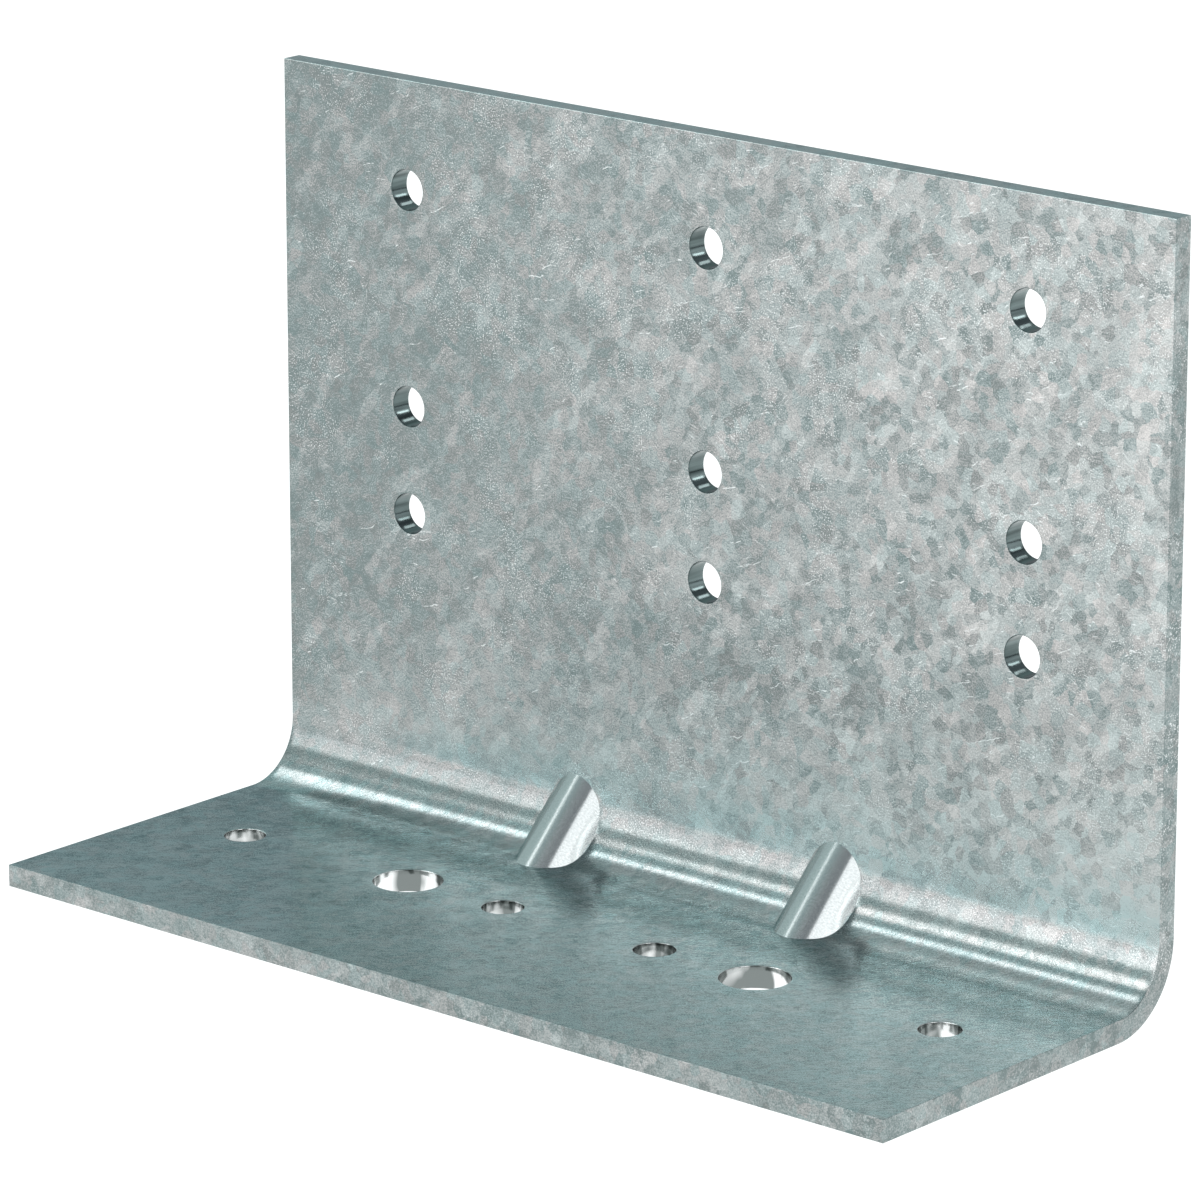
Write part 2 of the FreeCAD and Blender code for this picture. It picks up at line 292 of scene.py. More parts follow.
# %% [markdown]
# ## Pressed gussets
#
# A punch with a round nose is driven into the heel of the fold, so each gusset is a half-round ridge inside the corner
# and a round-nosed dent outside it. Both are straight ridges that cross the corner at 45 degrees, so a section across
# one is the same all the way along, and the ridge simply ends where it runs into the sheet. For a given offset from its
# middle, the ridge's height gives where its straight line meets the face, on the flat or on the bend. A square grid
# bent into a disc fills that outline without a pole.

# %% Ridge and dent as heights over their width
FOLD_CENTRE = math.sqrt(2.0) * BEND_OUTSIDE
RIDGE_AXIS = FOLD_CENTRE - BEND_INSIDE - SHEET / 2 + GUSSET_RISE
DENT_AXIS = RIDGE_AXIS + GUSSET_RADIUS - DENT_WALL - DENT_NOSE
SHOULDER = DENT_NOSE * math.cos(DENT_HALF_ANGLE)
SHOULDER_HEIGHT = DENT_AXIS + DENT_NOSE * math.sin(DENT_HALF_ANGLE)
HEEL_HEIGHT = FOLD_CENTRE - BEND_OUTSIDE
INNER_HEIGHT = FOLD_CENTRE - BEND_INSIDE
RIDGE_HALF = math.sqrt(GUSSET_RADIUS**2 - (INNER_HEIGHT - RIDGE_AXIS) ** 2)
DENT_HALF = SHOULDER + (SHOULDER_HEIGHT - HEEL_HEIGHT) * math.tan(DENT_HALF_ANGLE)


def ridge_height(dx):
    """Distance of the ridge from the sharp outer corner: a circle's height over its axis."""
    return RIDGE_AXIS + np.sqrt(GUSSET_RADIUS**2 - dx**2)


def dent_height(dx):
    """The same for the dent: a circle's height near its middle, and straight flanks outside the shoulders."""
    near = np.minimum(np.abs(dx), SHOULDER)
    return DENT_AXIS + np.sqrt(DENT_NOSE**2 - near**2) - (np.abs(dx) - near) / math.tan(DENT_HALF_ANGLE)


def half_run(height, radius):
    """Half the length of a line across the corner, from where it meets one leg's face to where it meets the other.

    Low lines end on the bend, on a circle of that radius; higher lines end on the two flats.
    """
    below = FOLD_CENTRE - height
    on_bend = np.sqrt(np.maximum(radius**2 - below**2, 0.0))
    on_flat = math.sqrt(2.0) * radius - below
    return np.where(below > radius * ROOT_HALF, on_bend, on_flat)


def from_fold_middle(run, radius):
    """Where the end of such a line lies on the blank, measured from the middle of the bend."""
    turn = np.arcsin(np.minimum(np.abs(run) / radius, ROOT_HALF))
    beyond = np.maximum(np.abs(run) / ROOT_HALF - radius, 0.0)
    return np.sign(run) * (BEND_INSIDE * turn + beyond)


def across_corner(x, height, run):
    """Point at a height over the outer corner and a run across it: both are turned 45 degrees to the legs."""
    return np.stack(np.broadcast_arrays(x, BACK_Y - (height + run) * ROOT_HALF, (height - run) * ROOT_HALF), axis=-1)


def disc(a, b):
    """Bends the square -1..1 into the unit disc, so that its border becomes the circle."""
    return a * np.sqrt(1.0 - b**2 / 2), b * np.sqrt(1.0 - a**2 / 2)


print(f"ridge {2 * RIDGE_HALF:.2f} mm wide, dent {2 * DENT_HALF:.2f} mm wide")

# %% Press the gussets
GUSSET_RINGS = 7
GUSSET_BLOCK = (6.35, BEND_ARC / 2 + 4.4)


def pressing(x, a, b, height_of, half, w):
    """Points of a ridge or dent over the square (a, b), and where the sheet they were pressed from lay on the blank."""
    radius = BEND_INSIDE + w
    disc_x, disc_y = disc(a, b)
    dx = half * disc_x
    height = height_of(np.minimum(np.abs(dx), half))
    share = disc_y / np.sqrt(np.maximum(1.0 - disc_x**2, 1e-12))
    run = half_run(height, radius) * share
    v = FOLD_MIDDLE + from_fold_middle(run, radius)
    return across_corner(x + dx, height, run), on_blank(x + dx, v, w)


def make_gusset(x):
    """A ridge on the inner face and a dent on the outer one, each with rings of sheet out to the block."""
    ring, (wide, tall), part = take_block(x, FOLD_MIDDLE, *GUSSET_BLOCK)
    a, b = np.meshgrid(np.linspace(-1, 1, wide + 1), np.linspace(-1, 1, tall + 1), indexing="ij")
    for w, height_of, half in ((0.0, ridge_height, RIDGE_HALF), (SHEET, dent_height, DENT_HALF)):
        points, blank = pressing(x, a, b, height_of, half, w)
        add_patch(blank, PRESSED, points=points)
        _, outline = pressing(x, part[:, 0], part[:, 1], height_of, half, w)
        share = np.linspace(0.0, 1.0, GUSSET_RINGS + 1)[:, None, None] ** 0.8
        flat = ring + (outline[:, :2] - ring) * share
        add_patch(on_blank(flat[..., 0], flat[..., 1], w), FACE, closed=True)
    return wide * tall


for side in (-1, 1):
    cells = make_gusset(side * GUSSET_OFFSET)
print("each ridge has", cells, "cells")

# %% [markdown]
# ## Faces and cut edges
#
# What is left of the grid is the plain sheet, once for each face. The blank was sheared from a coil, so its border is
# the same rounded profile as a hole's, carried once round the rectangle and mitred at the four corners.


# %% Make the two faces and the border
def make_faces():
    """The grid's lines folded at the depth of each face, with only the cells that no block took."""
    x, v = np.meshgrid(across_lines, down_lines, indexing="ij")
    return sum(add_patch(on_blank(x, v, w), FACE, keep=cell_left) for w in (0.0, SHEET))


def make_border():
    """The edge profile carried round the blank: each point of the ring goes out along the side that it is on."""
    wide, tall = (len(lines) - 1 for lines in (across_lines, down_lines))
    i = np.concatenate([np.arange(wide), np.full(tall, wide), np.arange(wide, 0, -1), np.zeros(tall, int)])
    j = np.concatenate([np.zeros(wide, int), np.arange(tall), np.full(wide, tall), np.arange(tall, 0, -1)])
    out_x = (i == wide).astype(float) - (i == 0)
    out_v = (j == tall).astype(float) - (j == 0)
    x = across_lines[i] + edge_out[:, None] * out_x
    v = down_lines[j] + edge_out[:, None] * out_v
    # The top edge takes its own finish, whose zinc is painted lighter than the other cut edges.
    finish = np.where(j + np.roll(j, -1) == 0, TOP_EDGE, EDGE)
    return add_patch(on_blank(x, v, edge_in[:, None]), np.tile(finish, len(edge_in) - 1), closed=True)


print(make_faces(), "quads of plain sheet and", make_border(), "of cut edge")

# %% [markdown]
# ## One mesh
#
# The patches are stacked into one array of points and one of quads, put into a mesh, and welded where they meet. A
# closed skin can then have its normals turned outwards all at once. Faces are shaded smooth, with sharp edges only
# where the ridge and the dent meet the sheet, and the big flat faces lead the normals so that the narrow rounded edges
# don't bend the reflections next to them.


# %% Build the mesh
BLANK_PLACE = "blank_place"


def build_mesh(name):
    """All patches, in metres, with doubles merged and normals outwards; each point keeps its place on the blank."""
    points, blank, quads, finishes = zip(*patches)
    starts = np.cumsum([0] + [len(part) for part in points[:-1]])
    mesh = bpy.data.meshes.new(name)
    mesh.from_pydata(np.concatenate(points) * MM, [], np.concatenate([q + start for q, start in zip(quads, starts)]))
    mesh.polygons.foreach_set("material_index", np.concatenate(finishes).astype(np.int32))
    mesh.attributes.new(BLANK_PLACE, "FLOAT_VECTOR", "POINT").data.foreach_set("vector", np.concatenate(blank).ravel())
    skin = bmesh.new()
    skin.from_mesh(mesh)
    bmesh.ops.remove_doubles(skin, verts=skin.verts, dist=0.002 * MM)
    bmesh.ops.recalc_face_normals(skin, faces=skin.faces)
    open_edges = sum(not edge.is_manifold for edge in skin.edges)
    print("volume", round(skin.calc_volume() / MM**3, 1), "mm3, open edges", open_edges)
    skin.to_mesh(mesh)
    skin.free()
    mesh.shade_smooth()
    mesh.set_sharp_from_angle(angle=math.radians(38.0))
    return mesh


sheet_mesh = build_mesh("folded_sheet")
folded_sheet = bpy.data.objects.new("folded_sheet", sheet_mesh)
bpy.context.scene.collection.objects.link(folded_sheet)
even_normals = folded_sheet.modifiers.new("even_normals", "WEIGHTED_NORMAL")
even_normals.keep_sharp = True
even_normals.weight = 100
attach(folded_sheet, "root")
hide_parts("connector_angle")
print(len(sheet_mesh.polygons), "faces,", len(sheet_mesh.vertices), "points")

# %% [markdown]
# ## Nodes and colours
#
# Colours are written as the sRGB hex values that a painter would pick, and a shader wants linear light, so one function
# turns one into the other. Another adds a node, sets it up and links it, so that each material reads as a list.


# %% Helpers for materials
def linear(code):
    """An sRGB hex colour as linear red, green, blue and alpha."""
    value = np.array([int(code[i:i + 2], 16) for i in (1, 3, 5)]) / 255
    value = np.where(value <= 0.04045, value / 12.92, ((value + 0.055) / 1.055) ** 2.4)
    return (*value.tolist(), 1.0)


def add_node(tree, kind, inputs=None, **settings):
    """Adds a node. An input that is given a socket, or a node for its first live output, is linked to it, and any
    other value is set."""
    node = tree.nodes.new(kind)
    for name, value in settings.items():
        setattr(node, name, value)
    for key, value in (inputs or {}).items():
        if isinstance(value, bpy.types.Node):
            value = next(socket for socket in value.outputs if socket.enabled)
        if isinstance(value, bpy.types.NodeSocket):
            tree.links.new(value, node.inputs[key])
        else:
            node.inputs[key].default_value = value
    return node


def new_material(name):
    """An empty material: its tree, its shader and the place on the blank, in millimetres."""
    material = bpy.data.materials.new(name)
    material.use_nodes = True
    tree = material.node_tree
    tree.nodes.clear()
    shader = add_node(tree, "ShaderNodeBsdfPrincipled")
    add_node(tree, "ShaderNodeOutputMaterial", {"Surface": shader})
    blank = add_node(tree, "ShaderNodeAttribute", attribute_name=BLANK_PLACE).outputs["Vector"]
    return material, tree, shader, blank


print("linear mid grey", linear("#808080"))

# %% [markdown]
# ## Hot-dip galvanised zinc
#
# Zinc freezes on the steel in flat crystals, the spangle. Each crystal meets the light at its own small tilt, so the
# sheet is a patchwork of cool and warm greys with soft and sharp borders, some crystals dull and dark, some frosted
# with fine fibres, and here and there a bright speck or a hairline scratch from handling. An image of a real sheet
# would show its own repeat, so the crystals are cells of Voronoi textures whose coordinates wander. Light and shade
# are painted into the colour as well: painted glints, mostly to the right, a paler foot and lowest upright, an upright
# lighter towards the right, a darker left end above the bend, and a top edge painted lighter than the other cut edges.

# %% Spangled faces
WANDER = 1.2
CRYSTAL = 3.0
GRAIN = 1.35
FEATHER = (3.6, 1.4)
CLOUD = 7.0
HAIR = (1.7, 0.15)
GRIT = 0.17
SCRATCH = (7.0, 0.17)
RELIEF = 0.003
BEND_END = UPRIGHT_FLAT + BEND_ARC


def spangled_zinc(name, shades, levels, reach, contrast, fine, fibres, turn, slope, gloss, grazing):
    """Galvanised metal whose colour, gloss and fine relief follow its crystals.

    A tone from 0 to 1 is summed from clouds, crystals, dull grains, pale feathers and fibres, raised and lowered in
    places by painted light and shade, and looked up in three shades. A second, neutral pattern turns the grains a
    little warmer or cooler, and painted glints, flecks and scratches go on top.
    """
    material, tree, shader, blank = new_material(name)
    place = add_node(tree, "ShaderNodeSeparateXYZ", {"Vector": blank})
    across, down = place.outputs["X"], place.outputs["Y"]

    # Cells for the crystals and grains, with borders that wander, and clouds that gather them.
    wander = add_node(tree, "ShaderNodeTexNoise",
                      {"Vector": blank, "Scale": 1 / WANDER, "Detail": 4.0, "Roughness": 0.6})
    push = add_node(tree, "ShaderNodeVectorMath", {0: wander.outputs["Color"], 1: (0.5,) * 3}, operation="SUBTRACT")
    warped = add_node(tree, "ShaderNodeVectorMath", {0: push, 1: (0.9,) * 3, 2: blank}, operation="MULTIPLY_ADD")
    crystal = add_node(tree, "ShaderNodeTexVoronoi", {"Vector": warped, "Scale": 1 / CRYSTAL})
    crystal = add_node(tree, "ShaderNodeSeparateColor", {"Color": crystal.outputs["Color"]})
    grain = add_node(tree, "ShaderNodeTexVoronoi", {"Vector": warped, "Scale": 1 / GRAIN})
    grain = add_node(tree, "ShaderNodeSeparateColor", {"Color": grain.outputs["Color"]})
    cloud = add_node(tree, "ShaderNodeTexNoise",
                     {"Vector": blank, "Scale": 1 / CLOUD, "Detail": 4.0, "Roughness": 0.6})
    patch = add_node(tree, "ShaderNodeSeparateColor", {"Color": cloud.outputs["Color"]})
    aslant = add_node(tree, "ShaderNodeVectorRotate", {"Vector": warped, "Angle": 0.9})
    aslant = add_node(tree, "ShaderNodeVectorMath",
                      {0: aslant, 1: (1 / FEATHER[0], 1 / FEATHER[1], 1 / FEATHER[1])}, operation="MULTIPLY")
    feather = add_node(tree, "ShaderNodeTexVoronoi", {"Vector": aslant, "Scale": 1.0})
    feather = add_node(tree, "ShaderNodeSeparateColor", {"Color": feather.outputs["Color"]})

    # Fibres run the same way within one crystal.
    angle = add_node(tree, "ShaderNodeMapRange", {"Value": crystal.outputs["Green"], 3: turn[0], 4: turn[1]})
    along = add_node(tree, "ShaderNodeVectorRotate", {"Vector": warped, "Angle": angle})
    fibre = add_node(tree, "ShaderNodeVectorMath",
                     {0: along, 1: (1 / fibres[0], 1 / fibres[1], 1 / fibres[1])}, operation="MULTIPLY")
    fibre = add_node(tree, "ShaderNodeTexNoise", {"Vector": fibre, "Scale": 1.0, "Detail": 1.0})

    dull = add_node(tree, "ShaderNodeMapRange", {"Value": grain.outputs["Red"], 1: 0.58, 2: 0.75})
    dull = add_node(tree, "ShaderNodeMath", {0: dull, 1: patch.outputs["Red"]}, operation="MULTIPLY")
    ragged = add_node(tree, "ShaderNodeMapRange", {"Value": wander, 1: 0.35, 2: 0.6, 3: 0.65, 4: 1.1})
    dull = add_node(tree, "ShaderNodeMath", {0: dull, 1: ragged}, operation="MULTIPLY")
    # Painted light: the dull grains, the clouds and the glints grow stronger towards the right, where the light is
    # brighter.
    strength = add_node(tree, "ShaderNodeMapRange", {"Value": across, 1: -40.0, 2: 40.0, 3: 0.3, 4: 0.85})
    dull = add_node(tree, "ShaderNodeMath", {0: dull, 1: strength}, operation="MULTIPLY")
    pale = add_node(tree, "ShaderNodeMapRange", {"Value": feather.outputs["Red"], 1: 0.6, 2: 1.0})

    sway = add_node(tree, "ShaderNodeMath", {0: cloud, 1: 0.5}, operation="SUBTRACT")
    tone = add_node(tree, "ShaderNodeMath", {0: sway, 1: strength, 2: -0.25}, operation="MULTIPLY_ADD")
    for pattern, weight in ((wander, 0.2), (crystal, 0.34), (dull, -1.25), (pale, 0.4)):
        tone = add_node(tree, "ShaderNodeMath", {0: pattern, 1: weight, 2: tone}, operation="MULTIPLY_ADD")

    # The crystals are faint on the bend and the foot. Painted light: the level climbs from the first to the third over
    # the reach, which paints the lowest part of the upright, and the front of the foot, paler.
    low = add_node(tree, "ShaderNodeMapRange",
                   {"Value": down, 1: reach[0], 2: reach[1], 3: levels[0], 4: levels[2]})
    into = add_node(tree, "ShaderNodeMapRange", {"Value": down, 1: UPRIGHT_FLAT, 2: UPRIGHT_FLAT + 1.5})
    out = add_node(tree, "ShaderNodeMapRange", {"Value": down, 1: BEND_END, 2: BEND_END - 1.5})
    bend = add_node(tree, "ShaderNodeMath", {0: into, 1: out}, operation="MULTIPLY")
    level = add_node(tree, "ShaderNodeMix", {0: bend, 2: low, 3: levels[1]})
    # Painted light: the level rises towards the right by the slope, less steeply on the bend.
    rise = add_node(tree, "ShaderNodeMapRange", {"Value": bend, 3: slope / 64, 4: slope / 140})
    level = add_node(tree, "ShaderNodeMath", {0: across, 1: rise, 2: level}, operation="MULTIPLY_ADD")
    # Painted shade: the left end of the upright, from 16 mm above the bend to just onto it, is darkened.
    painted_shade_left = add_node(tree, "ShaderNodeMapRange", {"Value": across, 1: -40.0, 2: -62.0, 3: 0.0, 4: -0.26})
    above = add_node(tree, "ShaderNodeMapRange", {"Value": down, 1: UPRIGHT_FLAT - 16.0, 2: UPRIGHT_FLAT - 5.0})
    over = add_node(tree, "ShaderNodeMapRange", {"Value": down, 1: UPRIGHT_FLAT + 3.0, 2: UPRIGHT_FLAT + 0.5})
    above = add_node(tree, "ShaderNodeMath", {0: above, 1: over}, operation="MULTIPLY")
    level = add_node(tree, "ShaderNodeMath", {0: painted_shade_left, 1: above, 2: level}, operation="MULTIPLY_ADD")
    # Painted light: the crystals' contrast goes from the first value at the left to the second at the right, following
    # the light.
    share = add_node(tree, "ShaderNodeMapRange", {"Value": across, 1: -40.0, 2: 40.0, 3: contrast[0], 4: contrast[1]})
    tone = add_node(tree, "ShaderNodeMath", {0: tone, 1: share}, operation="MULTIPLY")
    quiet = add_node(tree, "ShaderNodeMapRange", {"Value": bend, 3: 1.0, 4: 0.6})
    tone = add_node(tree, "ShaderNodeMath", {0: tone, 1: quiet, 2: level}, operation="MULTIPLY_ADD")
    grit = add_node(tree, "ShaderNodeTexNoise", {"Vector": blank, "Scale": 1 / GRIT, "Detail": 0.0})
    small = add_node(tree, "ShaderNodeMath", {0: grit, 1: 1.1, 2: fibre}, operation="MULTIPLY_ADD")
    small = add_node(tree, "ShaderNodeMath", {0: small, 1: 1.05}, operation="SUBTRACT")
    fade = add_node(tree, "ShaderNodeMapRange", {"Value": bend, 3: fine, 4: 0.8})
    tone = add_node(tree, "ShaderNodeMath", {0: small, 1: fade, 2: tone}, operation="MULTIPLY_ADD")
    shade = add_node(tree, "ShaderNodeValToRGB", {"Fac": tone})
    shade.color_ramp.elements.new(0.5)
    for stop, code, position in zip(shade.color_ramp.elements, shades, (0.0, 0.5, 1.0)):
        stop.color, stop.position = linear(code), position
    tint = add_node(tree, "ShaderNodeMix",
                    {"Factor": grain.outputs["Blue"], 6: linear("#F2FAFA"), 7: linear("#FEF8F7")}, data_type="RGBA")
    colour = add_node(tree, "ShaderNodeMix", {"Factor": 1.0, 6: shade, 7: tint},
                      data_type="RGBA", blend_type="MULTIPLY")

    # Bright marks: painted glints where the fibres crowd, mostly to the right, clusters of grit, and hairline
    # scratches.
    hair = add_node(tree, "ShaderNodeVectorMath",
                    {0: along, 1: (1 / HAIR[0], 1 / HAIR[1], 1 / HAIR[1])}, operation="MULTIPLY")
    hair = add_node(tree, "ShaderNodeTexVoronoi", {"Vector": hair, "Scale": 1.0})
    chosen = add_node(tree, "ShaderNodeSeparateColor", {"Color": hair.outputs["Color"]})
    crowd = add_node(tree, "ShaderNodeMapRange", {"Value": patch.outputs["Blue"], 1: 0.42, 2: 0.62, 3: 0.99, 4: 0.89})
    chosen = add_node(tree, "ShaderNodeMath", {0: chosen, 1: crowd}, operation="GREATER_THAN")
    painted_glint = add_node(tree, "ShaderNodeMapRange", {"Value": hair.outputs["Distance"], 1: 0.15, 2: 0.5, 3: 0.95, 4: 0.0})
    painted_glint = add_node(tree, "ShaderNodeMath", {0: painted_glint, 1: chosen}, operation="MULTIPLY")
    painted_glint = add_node(tree, "ShaderNodeMath", {0: painted_glint, 1: strength}, operation="MULTIPLY")
    grit = add_node(tree, "ShaderNodeMapRange", {"Value": grit, 1: 0.64, 2: 0.76, 3: 0.0, 4: 0.8})
    crowd = add_node(tree, "ShaderNodeMapRange", {"Value": patch.outputs["Green"], 1: 0.5, 2: 0.62})
    grit = add_node(tree, "ShaderNodeMath", {0: grit, 1: crowd}, operation="MULTIPLY")
    astray = add_node(tree, "ShaderNodeVectorMath", {0: cloud.outputs["Color"], 1: (3.0,) * 3, 2: blank},
                      operation="MULTIPLY_ADD")
    astray = add_node(tree, "ShaderNodeVectorRotate", {"Vector": astray, "Angle": 0.3})
    astray = add_node(tree, "ShaderNodeVectorMath",
                      {0: astray, 1: (1 / SCRATCH[0], 1 / SCRATCH[1], 1 / SCRATCH[1])}, operation="MULTIPLY")
    scratch = add_node(tree, "ShaderNodeTexVoronoi", {"Vector": astray, "Scale": 1.0})
    chosen = add_node(tree, "ShaderNodeSeparateColor", {"Color": scratch.outputs["Color"]})
    chosen = add_node(tree, "ShaderNodeMath", {0: chosen, 1: 0.987}, operation="GREATER_THAN")
    scratch = add_node(tree, "ShaderNodeMapRange", {"Value": scratch.outputs["Distance"], 1: 0.2, 2: 0.45, 3: 0.8, 4: 0.0})
    scratch = add_node(tree, "ShaderNodeMath", {0: scratch, 1: chosen}, operation="MULTIPLY")
    bright = add_node(tree, "ShaderNodeMath", {0: painted_glint, 1: grit}, operation="MAXIMUM")
    bright = add_node(tree, "ShaderNodeMath", {0: bright, 1: scratch}, operation="MAXIMUM")
    fade = add_node(tree, "ShaderNodeMapRange", {"Value": down, 1: UPRIGHT_FLAT, 2: BEND_END, 3: 1.0, 4: 0.2})
    bright = add_node(tree, "ShaderNodeMath", {0: bright, 1: fade}, operation="MULTIPLY")
    colour = add_node(tree, "ShaderNodeMix", {"Factor": bright, 6: colour, 7: linear("#F1F4F4")}, data_type="RGBA")
    tree.links.new(colour.outputs[2], shader.inputs["Base Color"])

    # The nose of the brake burnished the bend, and the flat upright kept its frost.
    frosted = add_node(tree, "ShaderNodeMapRange",
                       {"Value": down, 1: UPRIGHT_FLAT - 6.0, 2: UPRIGHT_FLAT, 3: gloss[0], 4: gloss[1]})
    uneven = add_node(tree, "ShaderNodeMapRange", {"Value": crystal.outputs["Blue"], 3: 0.94, 4: 1.06})
    frosted = add_node(tree, "ShaderNodeMath", {0: frosted, 1: uneven}, operation="MULTIPLY")
    tree.links.new(frosted.outputs[0], shader.inputs["Roughness"])
    depth = add_node(tree, "ShaderNodeMapRange", {"Value": bend, 3: 1.0, 4: 0.4})
    relief = add_node(tree, "ShaderNodeBump", {"Height": fibre, "Distance": RELIEF * MM, "Strength": depth})
    tree.links.new(relief.outputs["Normal"], shader.inputs["Normal"])
    shader.inputs["Metallic"].default_value = 1.0
    shader.inputs["Specular Tint"].default_value = linear(grazing)
    return material


SHADES = ("#7D8888", "#B1B4B4", "#D8D9D8")
FOOT_SHADES = ("#7A8889", "#ABB4B5", "#D2D9D9")
ABOVE_BEND = (UPRIGHT_FLAT - 18.0, UPRIGHT_FLAT)
PAST_BEND = (BEND_END, BEND_END + 36.0)
EDGE_SHADES = ("#788484", "#A4AAAA", "#CBCECE")
# The upright's zinc is painted paler over its lowest 18 mm, and lighter towards the right by the slope.
spangled = spangled_zinc("hot_dip_galvanised_zinc", SHADES, levels=(0.34, 0.51, 0.77), reach=ABOVE_BEND,
                         contrast=(0.45, 0.60), fine=0.8, fibres=(1.0, 0.13), turn=(-0.7, 0.7), slope=0.26, gloss=(0.43, 0.20), grazing="#FFFFFF")
# The foot's copy of the zinc is painted paler than the upright's, and paler still towards its front edge.
foot_zinc = spangled_zinc("galvanised_zinc_of_foot_painted_paler", FOOT_SHADES, levels=(0.56, 0.46, 0.77), reach=PAST_BEND,
                        contrast=(0.75, 0.2), fine=1.6, fibres=(1.2, 0.28), turn=(0.5, 0.95), slope=0.0, gloss=(0.43, 0.20), grazing="#EAFCFE")
sheared = spangled_zinc("zinc_on_sheared_edge", EDGE_SHADES, levels=(0.32, 0.32, 0.32), reach=ABOVE_BEND,
                        contrast=(0.6, 0.5),
                        fine=0.7, fibres=(1.0, 0.13), turn=(-0.7, 0.7), slope=0.0, gloss=(0.30, 0.30), grazing="#FFFFFF")
# The top edge has its own copy of the zinc, painted lighter than the other cut edges.
top_edge_zinc = spangled_zinc("zinc_on_top_edge_painted_lighter", FOOT_SHADES, levels=(0.95, 0.95, 0.95), reach=ABOVE_BEND,
                       contrast=(0.6, 0.6),
                       fine=0.7, fibres=(1.0, 0.13), turn=(-0.7, 0.7), slope=0.0, gloss=(0.30, 0.30), grazing="#F4FEFE")
print("made", spangled.name, "and", sheared.name)

# %% [markdown]
# ## Worked metal
#
# Where a punch has rubbed the zinc it is smoothed: on the gussets, which the round nose stretched and left brighter,
# and on the walls of the holes. It keeps only a fine speckle, in its colour and in its gloss. The hole walls carry
# painted
# light and shade: those in the upright are painted dark, and those in the foot near white.


# %% Pressed and punched metal
def smooth_zinc(name, colour, dark, roughness, stretch, sharp):
    """Worked metal: a noise, stretched the way the tool moved, mixes two shades and changes the gloss by a fifth."""
    material, tree, shader, blank = new_material(name)
    drawn = add_node(tree, "ShaderNodeVectorMath", {0: blank, 1: stretch}, operation="MULTIPLY")
    wear = add_node(tree, "ShaderNodeTexNoise", {"Vector": drawn, "Scale": 1.0, "Detail": 2.0})
    share = add_node(tree, "ShaderNodeMapRange", {"Value": wear, 1: 0.5 - sharp, 2: 0.5 + sharp})
    shade = add_node(tree, "ShaderNodeMix", {"Factor": share, 6: linear(dark), 7: linear(colour)}, data_type="RGBA")
    tree.links.new(shade.outputs[2], shader.inputs["Base Color"])
    gloss = add_node(tree, "ShaderNodeMapRange", {"Value": wear, 3: roughness * 0.8, 4: roughness * 1.2})
    tree.links.new(gloss.outputs[0], shader.inputs["Roughness"])
    shader.inputs["Metallic"].default_value = 1.0
    return material


pressed = smooth_zinc("pressed_zinc", "#CFD3D3", "#B9BFBF", 0.19, (5.0, 5.0, 5.0), 0.2)
# Painted shade and light: the upright's hole walls are painted dark, and the foot's near white.
upright_bore = smooth_zinc("upright_hole_wall_painted_dark", "#748282", "#475353", 0.16, (1.2, 1.2, 0.08), 0.2)
foot_bore = smooth_zinc("foot_hole_wall_painted_light", "#F4F5F5", "#7E8483", 0.12, (0.45, 0.0, 0.15), 0.06)
for material in (spangled, foot_zinc, sheared, top_edge_zinc, pressed, upright_bore, foot_bore):
    sheet_mesh.materials.append(material)
print([material.name for material in sheet_mesh.materials])

# %% [markdown]
# ## Camera
#
# The photograph was taken with a long lens, so the edges stay nearly parallel. Its place was worked out from the
# corners and the holes.

# %% Place the camera
CAMERA_AZIMUTH = math.radians(41.004)
CAMERA_ELEVATION = math.radians(15.959)
CAMERA_DISTANCE = 777.324
FOCAL_PIXELS = 6887.555
FRAME_PIXELS = 1200
VIEW_SHIFT = (-13.313, 33.677)
SENSOR = 36.0


def place_camera():
    """Looks at a point of the heel's plane, moved across and up the picture, from the given distance."""
    a, e = CAMERA_AZIMUTH, CAMERA_ELEVATION
    back = np.array([math.sin(a) * math.cos(e), -math.cos(a) * math.cos(e), math.sin(e)])
    right = np.array([math.cos(a), math.sin(a), 0.0])
    up = np.cross(back, right)
    eye = np.array([0.0, BACK_Y, 0.0]) + VIEW_SHIFT[0] * right + VIEW_SHIFT[1] * up + CAMERA_DISTANCE * back
    lens = bpy.data.cameras.new("camera")
    lens.sensor_width = SENSOR
    lens.lens = SENSOR * FOCAL_PIXELS / FRAME_PIXELS
    lens.clip_start, lens.clip_end = 0.01, 50.0
    camera = bpy.data.objects.new("camera", lens)
    turn = np.stack([right, up, back], axis=1)
    camera.matrix_world = Matrix.Translation(Vector(eye * MM)) @ Matrix(turn.tolist()).to_4x4()
    bpy.context.scene.collection.objects.link(camera)
    bpy.context.scene.camera = camera
    return eye


print("camera at", place_camera().round(1).tolist(), "mm")

# %% [markdown]
# ## Floor and light
#
# Polished and galvanised metal shows what stands round it, so the light is a set of softboxes that it can mirror.

# %% Floor
FLOOR_HALF = 4000.0


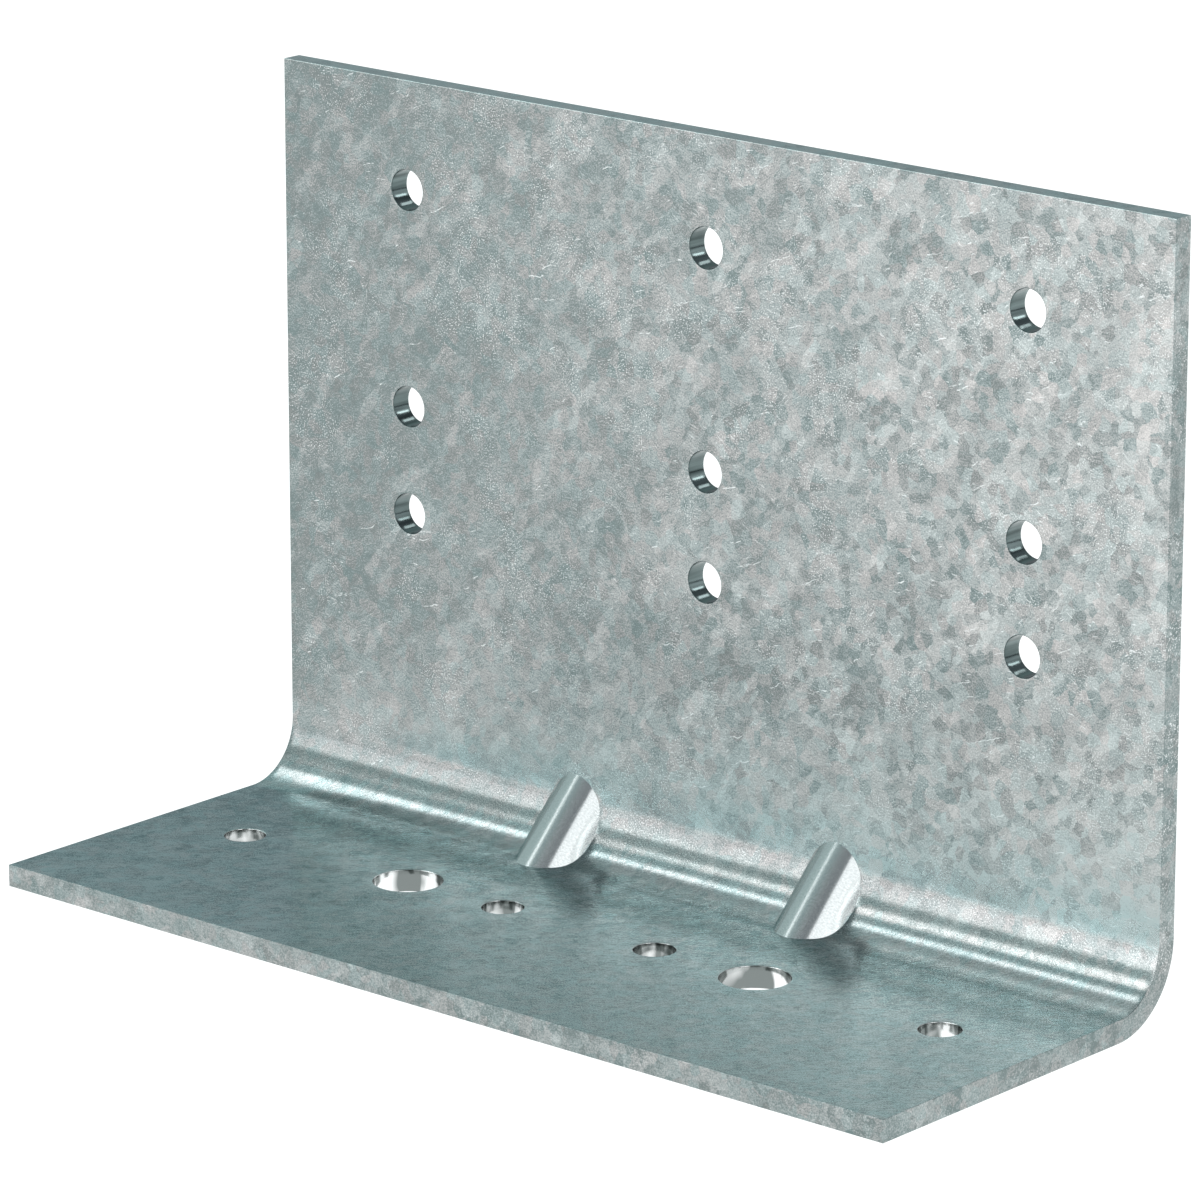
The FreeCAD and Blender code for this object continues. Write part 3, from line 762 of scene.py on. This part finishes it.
def make_floor():
    """A pale flat sheet under the foot."""
    grid = np.linspace(-FLOOR_HALF, FLOOR_HALF, 3)
    x, y = np.meshgrid(grid, grid, indexing="ij")
    points = np.stack([x, y, np.full_like(x, low_corner[2])], axis=-1).reshape(-1, 3) * MM
    index = np.arange(9).reshape(3, 3)
    quads = np.stack([index[:-1, :-1], index[1:, :-1], index[1:, 1:], index[:-1, 1:]], axis=-1).reshape(-1, 4)
    mesh = bpy.data.meshes.new("floor")
    mesh.from_pydata(points, [], quads)
    material, _, shader, _ = new_material("milky_acrylic_lit_from_below")
    shader.inputs["Base Color"].default_value = linear("#000000")
    shader.inputs["Roughness"].default_value = 0.9
    shader.inputs["Specular IOR Level"].default_value = 0.0
    shader.inputs["Emission Color"].default_value = linear("#FCFFFF")
    shader.inputs["Emission Strength"].default_value = 1.2
    mesh.materials.append(material)
    floor = bpy.data.objects.new("floor", mesh)
    bpy.context.scene.collection.objects.link(floor)
    return floor


make_floor()


# %% Softboxes
PART_MIDDLE = Vector((0.0, 0.0, 30.0))


def towards(azimuth, elevation):
    """Unit vector from the part: azimuth 0 is the front, 90 the right, and elevation is above the floor."""
    a, e = math.radians(azimuth), math.radians(elevation)
    return Vector((math.sin(a) * math.cos(e), -math.cos(a) * math.cos(e), math.sin(e)))


def softbox(name, direction, distance, size, radiance, aim=PART_MIDDLE, spread=180.0, roll=0.0):
    """A rectangular light seen in a direction from the part, turned to face a point and rolled about that line.

    Its power is its radiance times pi and its area, so a mirror shows that radiance whatever the size.
    """
    light = bpy.data.lights.new(name, "AREA")
    light.shape = "RECTANGLE"
    light.size, light.size_y = (side * MM for side in size)
    light.energy = radiance * math.pi * light.size * light.size_y
    light.spread = math.radians(spread)
    lamp = bpy.data.objects.new(name, light)
    place = PART_MIDDLE + towards(*direction) * distance
    lamp.location = place * MM
    lamp.rotation_mode = "QUATERNION"
    lamp.rotation_quaternion = (aim - place).to_track_quat("-Z", "Y") @ Quaternion((0, 0, 1), math.radians(roll))
    bpy.context.scene.collection.objects.link(lamp)
    return lamp


softbox("front_panel", (-4.0, 12.0), 1400.0, (1400.0, 620.0), 1.5)
softbox("middle_panel", (-33.0, 12.0), 1400.0, (200.0, 620.0), 1.3)
softbox("side_panel", (-44.5, 9.5), 1400.0, (300.0, 465.0), 1.15)
softbox("side_rail", (-44.5, 21.5), 1400.0, (300.0, 130.0), 1.28)
softbox("left_window", (-49.0, 45.5), 1400.0, (360.0, 270.0), 2.0)
softbox("left_strip", (-99.0, 53.5), 1400.0, (520.0, 440.0), 2.45)
softbox("right_strip", (89.5, 31.3), 1400.0, (1784.0, 440.0), 1.5, roll=-49.6)
softbox("rim_light", (144.0, 27.5), 1400.0, (280.0, 160.0), 5.0)
softbox("rim_panel", (141.0, 18.0), 1450.0, (700.0, 620.0), 0.9)
softbox("back_window", (-174.0, 43.0), 1400.0, (300.0, 200.0), 3.0)
softbox("right_low_window", (71.8, 11.5), 1400.0, (630.0, 540.0), 3.7)
softbox("key_light", (0.0, 38.0), 450.0, (240.0, 240.0), 3.0)


def make_world():
    """Dim walls: the light grows with height, and towards the left."""
    world = bpy.data.worlds.new("studio")
    world.use_nodes = True
    tree = world.node_tree
    tree.nodes.clear()
    way = add_node(tree, "ShaderNodeTexCoord").outputs["Generated"]
    up = add_node(tree, "ShaderNodeSeparateXYZ", {"Vector": way}).outputs["Z"]
    rise = add_node(tree, "ShaderNodeMapRange", {"Value": up, 1: 0.27, 2: 0.45})
    left = add_node(tree, "ShaderNodeVectorMath", {0: way, 1: (-1.0, 0.0, 0.0)}, operation="DOT_PRODUCT")
    left = add_node(tree, "ShaderNodeMapRange", {"Value": left.outputs["Value"], 1: -0.1, 2: 0.5})
    share = add_node(tree, "ShaderNodeMath", {0: rise, 1: left}, operation="MULTIPLY")
    walls = add_node(tree, "ShaderNodeMix", {"Factor": share, 6: linear("#8F9599"), 7: linear("#A3BABA")},
                     data_type="RGBA")
    glow = add_node(tree, "ShaderNodeVectorMath", {0: way, 1: (-0.9, -0.1, 0.42)}, operation="DOT_PRODUCT")
    glow = add_node(tree, "ShaderNodeMapRange", {"Value": glow.outputs["Value"], 1: 0.68, 2: 0.92})
    walls = add_node(tree, "ShaderNodeMix", {"Factor": glow, 6: walls.outputs[2], 7: linear("#BED3D3")},
                     data_type="RGBA")
    light = add_node(tree, "ShaderNodeBackground", {"Color": walls.outputs[2]})
    add_node(tree, "ShaderNodeOutputWorld", {"Surface": light})
    bpy.context.scene.world = world


make_world()
bpy.context.scene.view_settings.view_transform = "Standard"
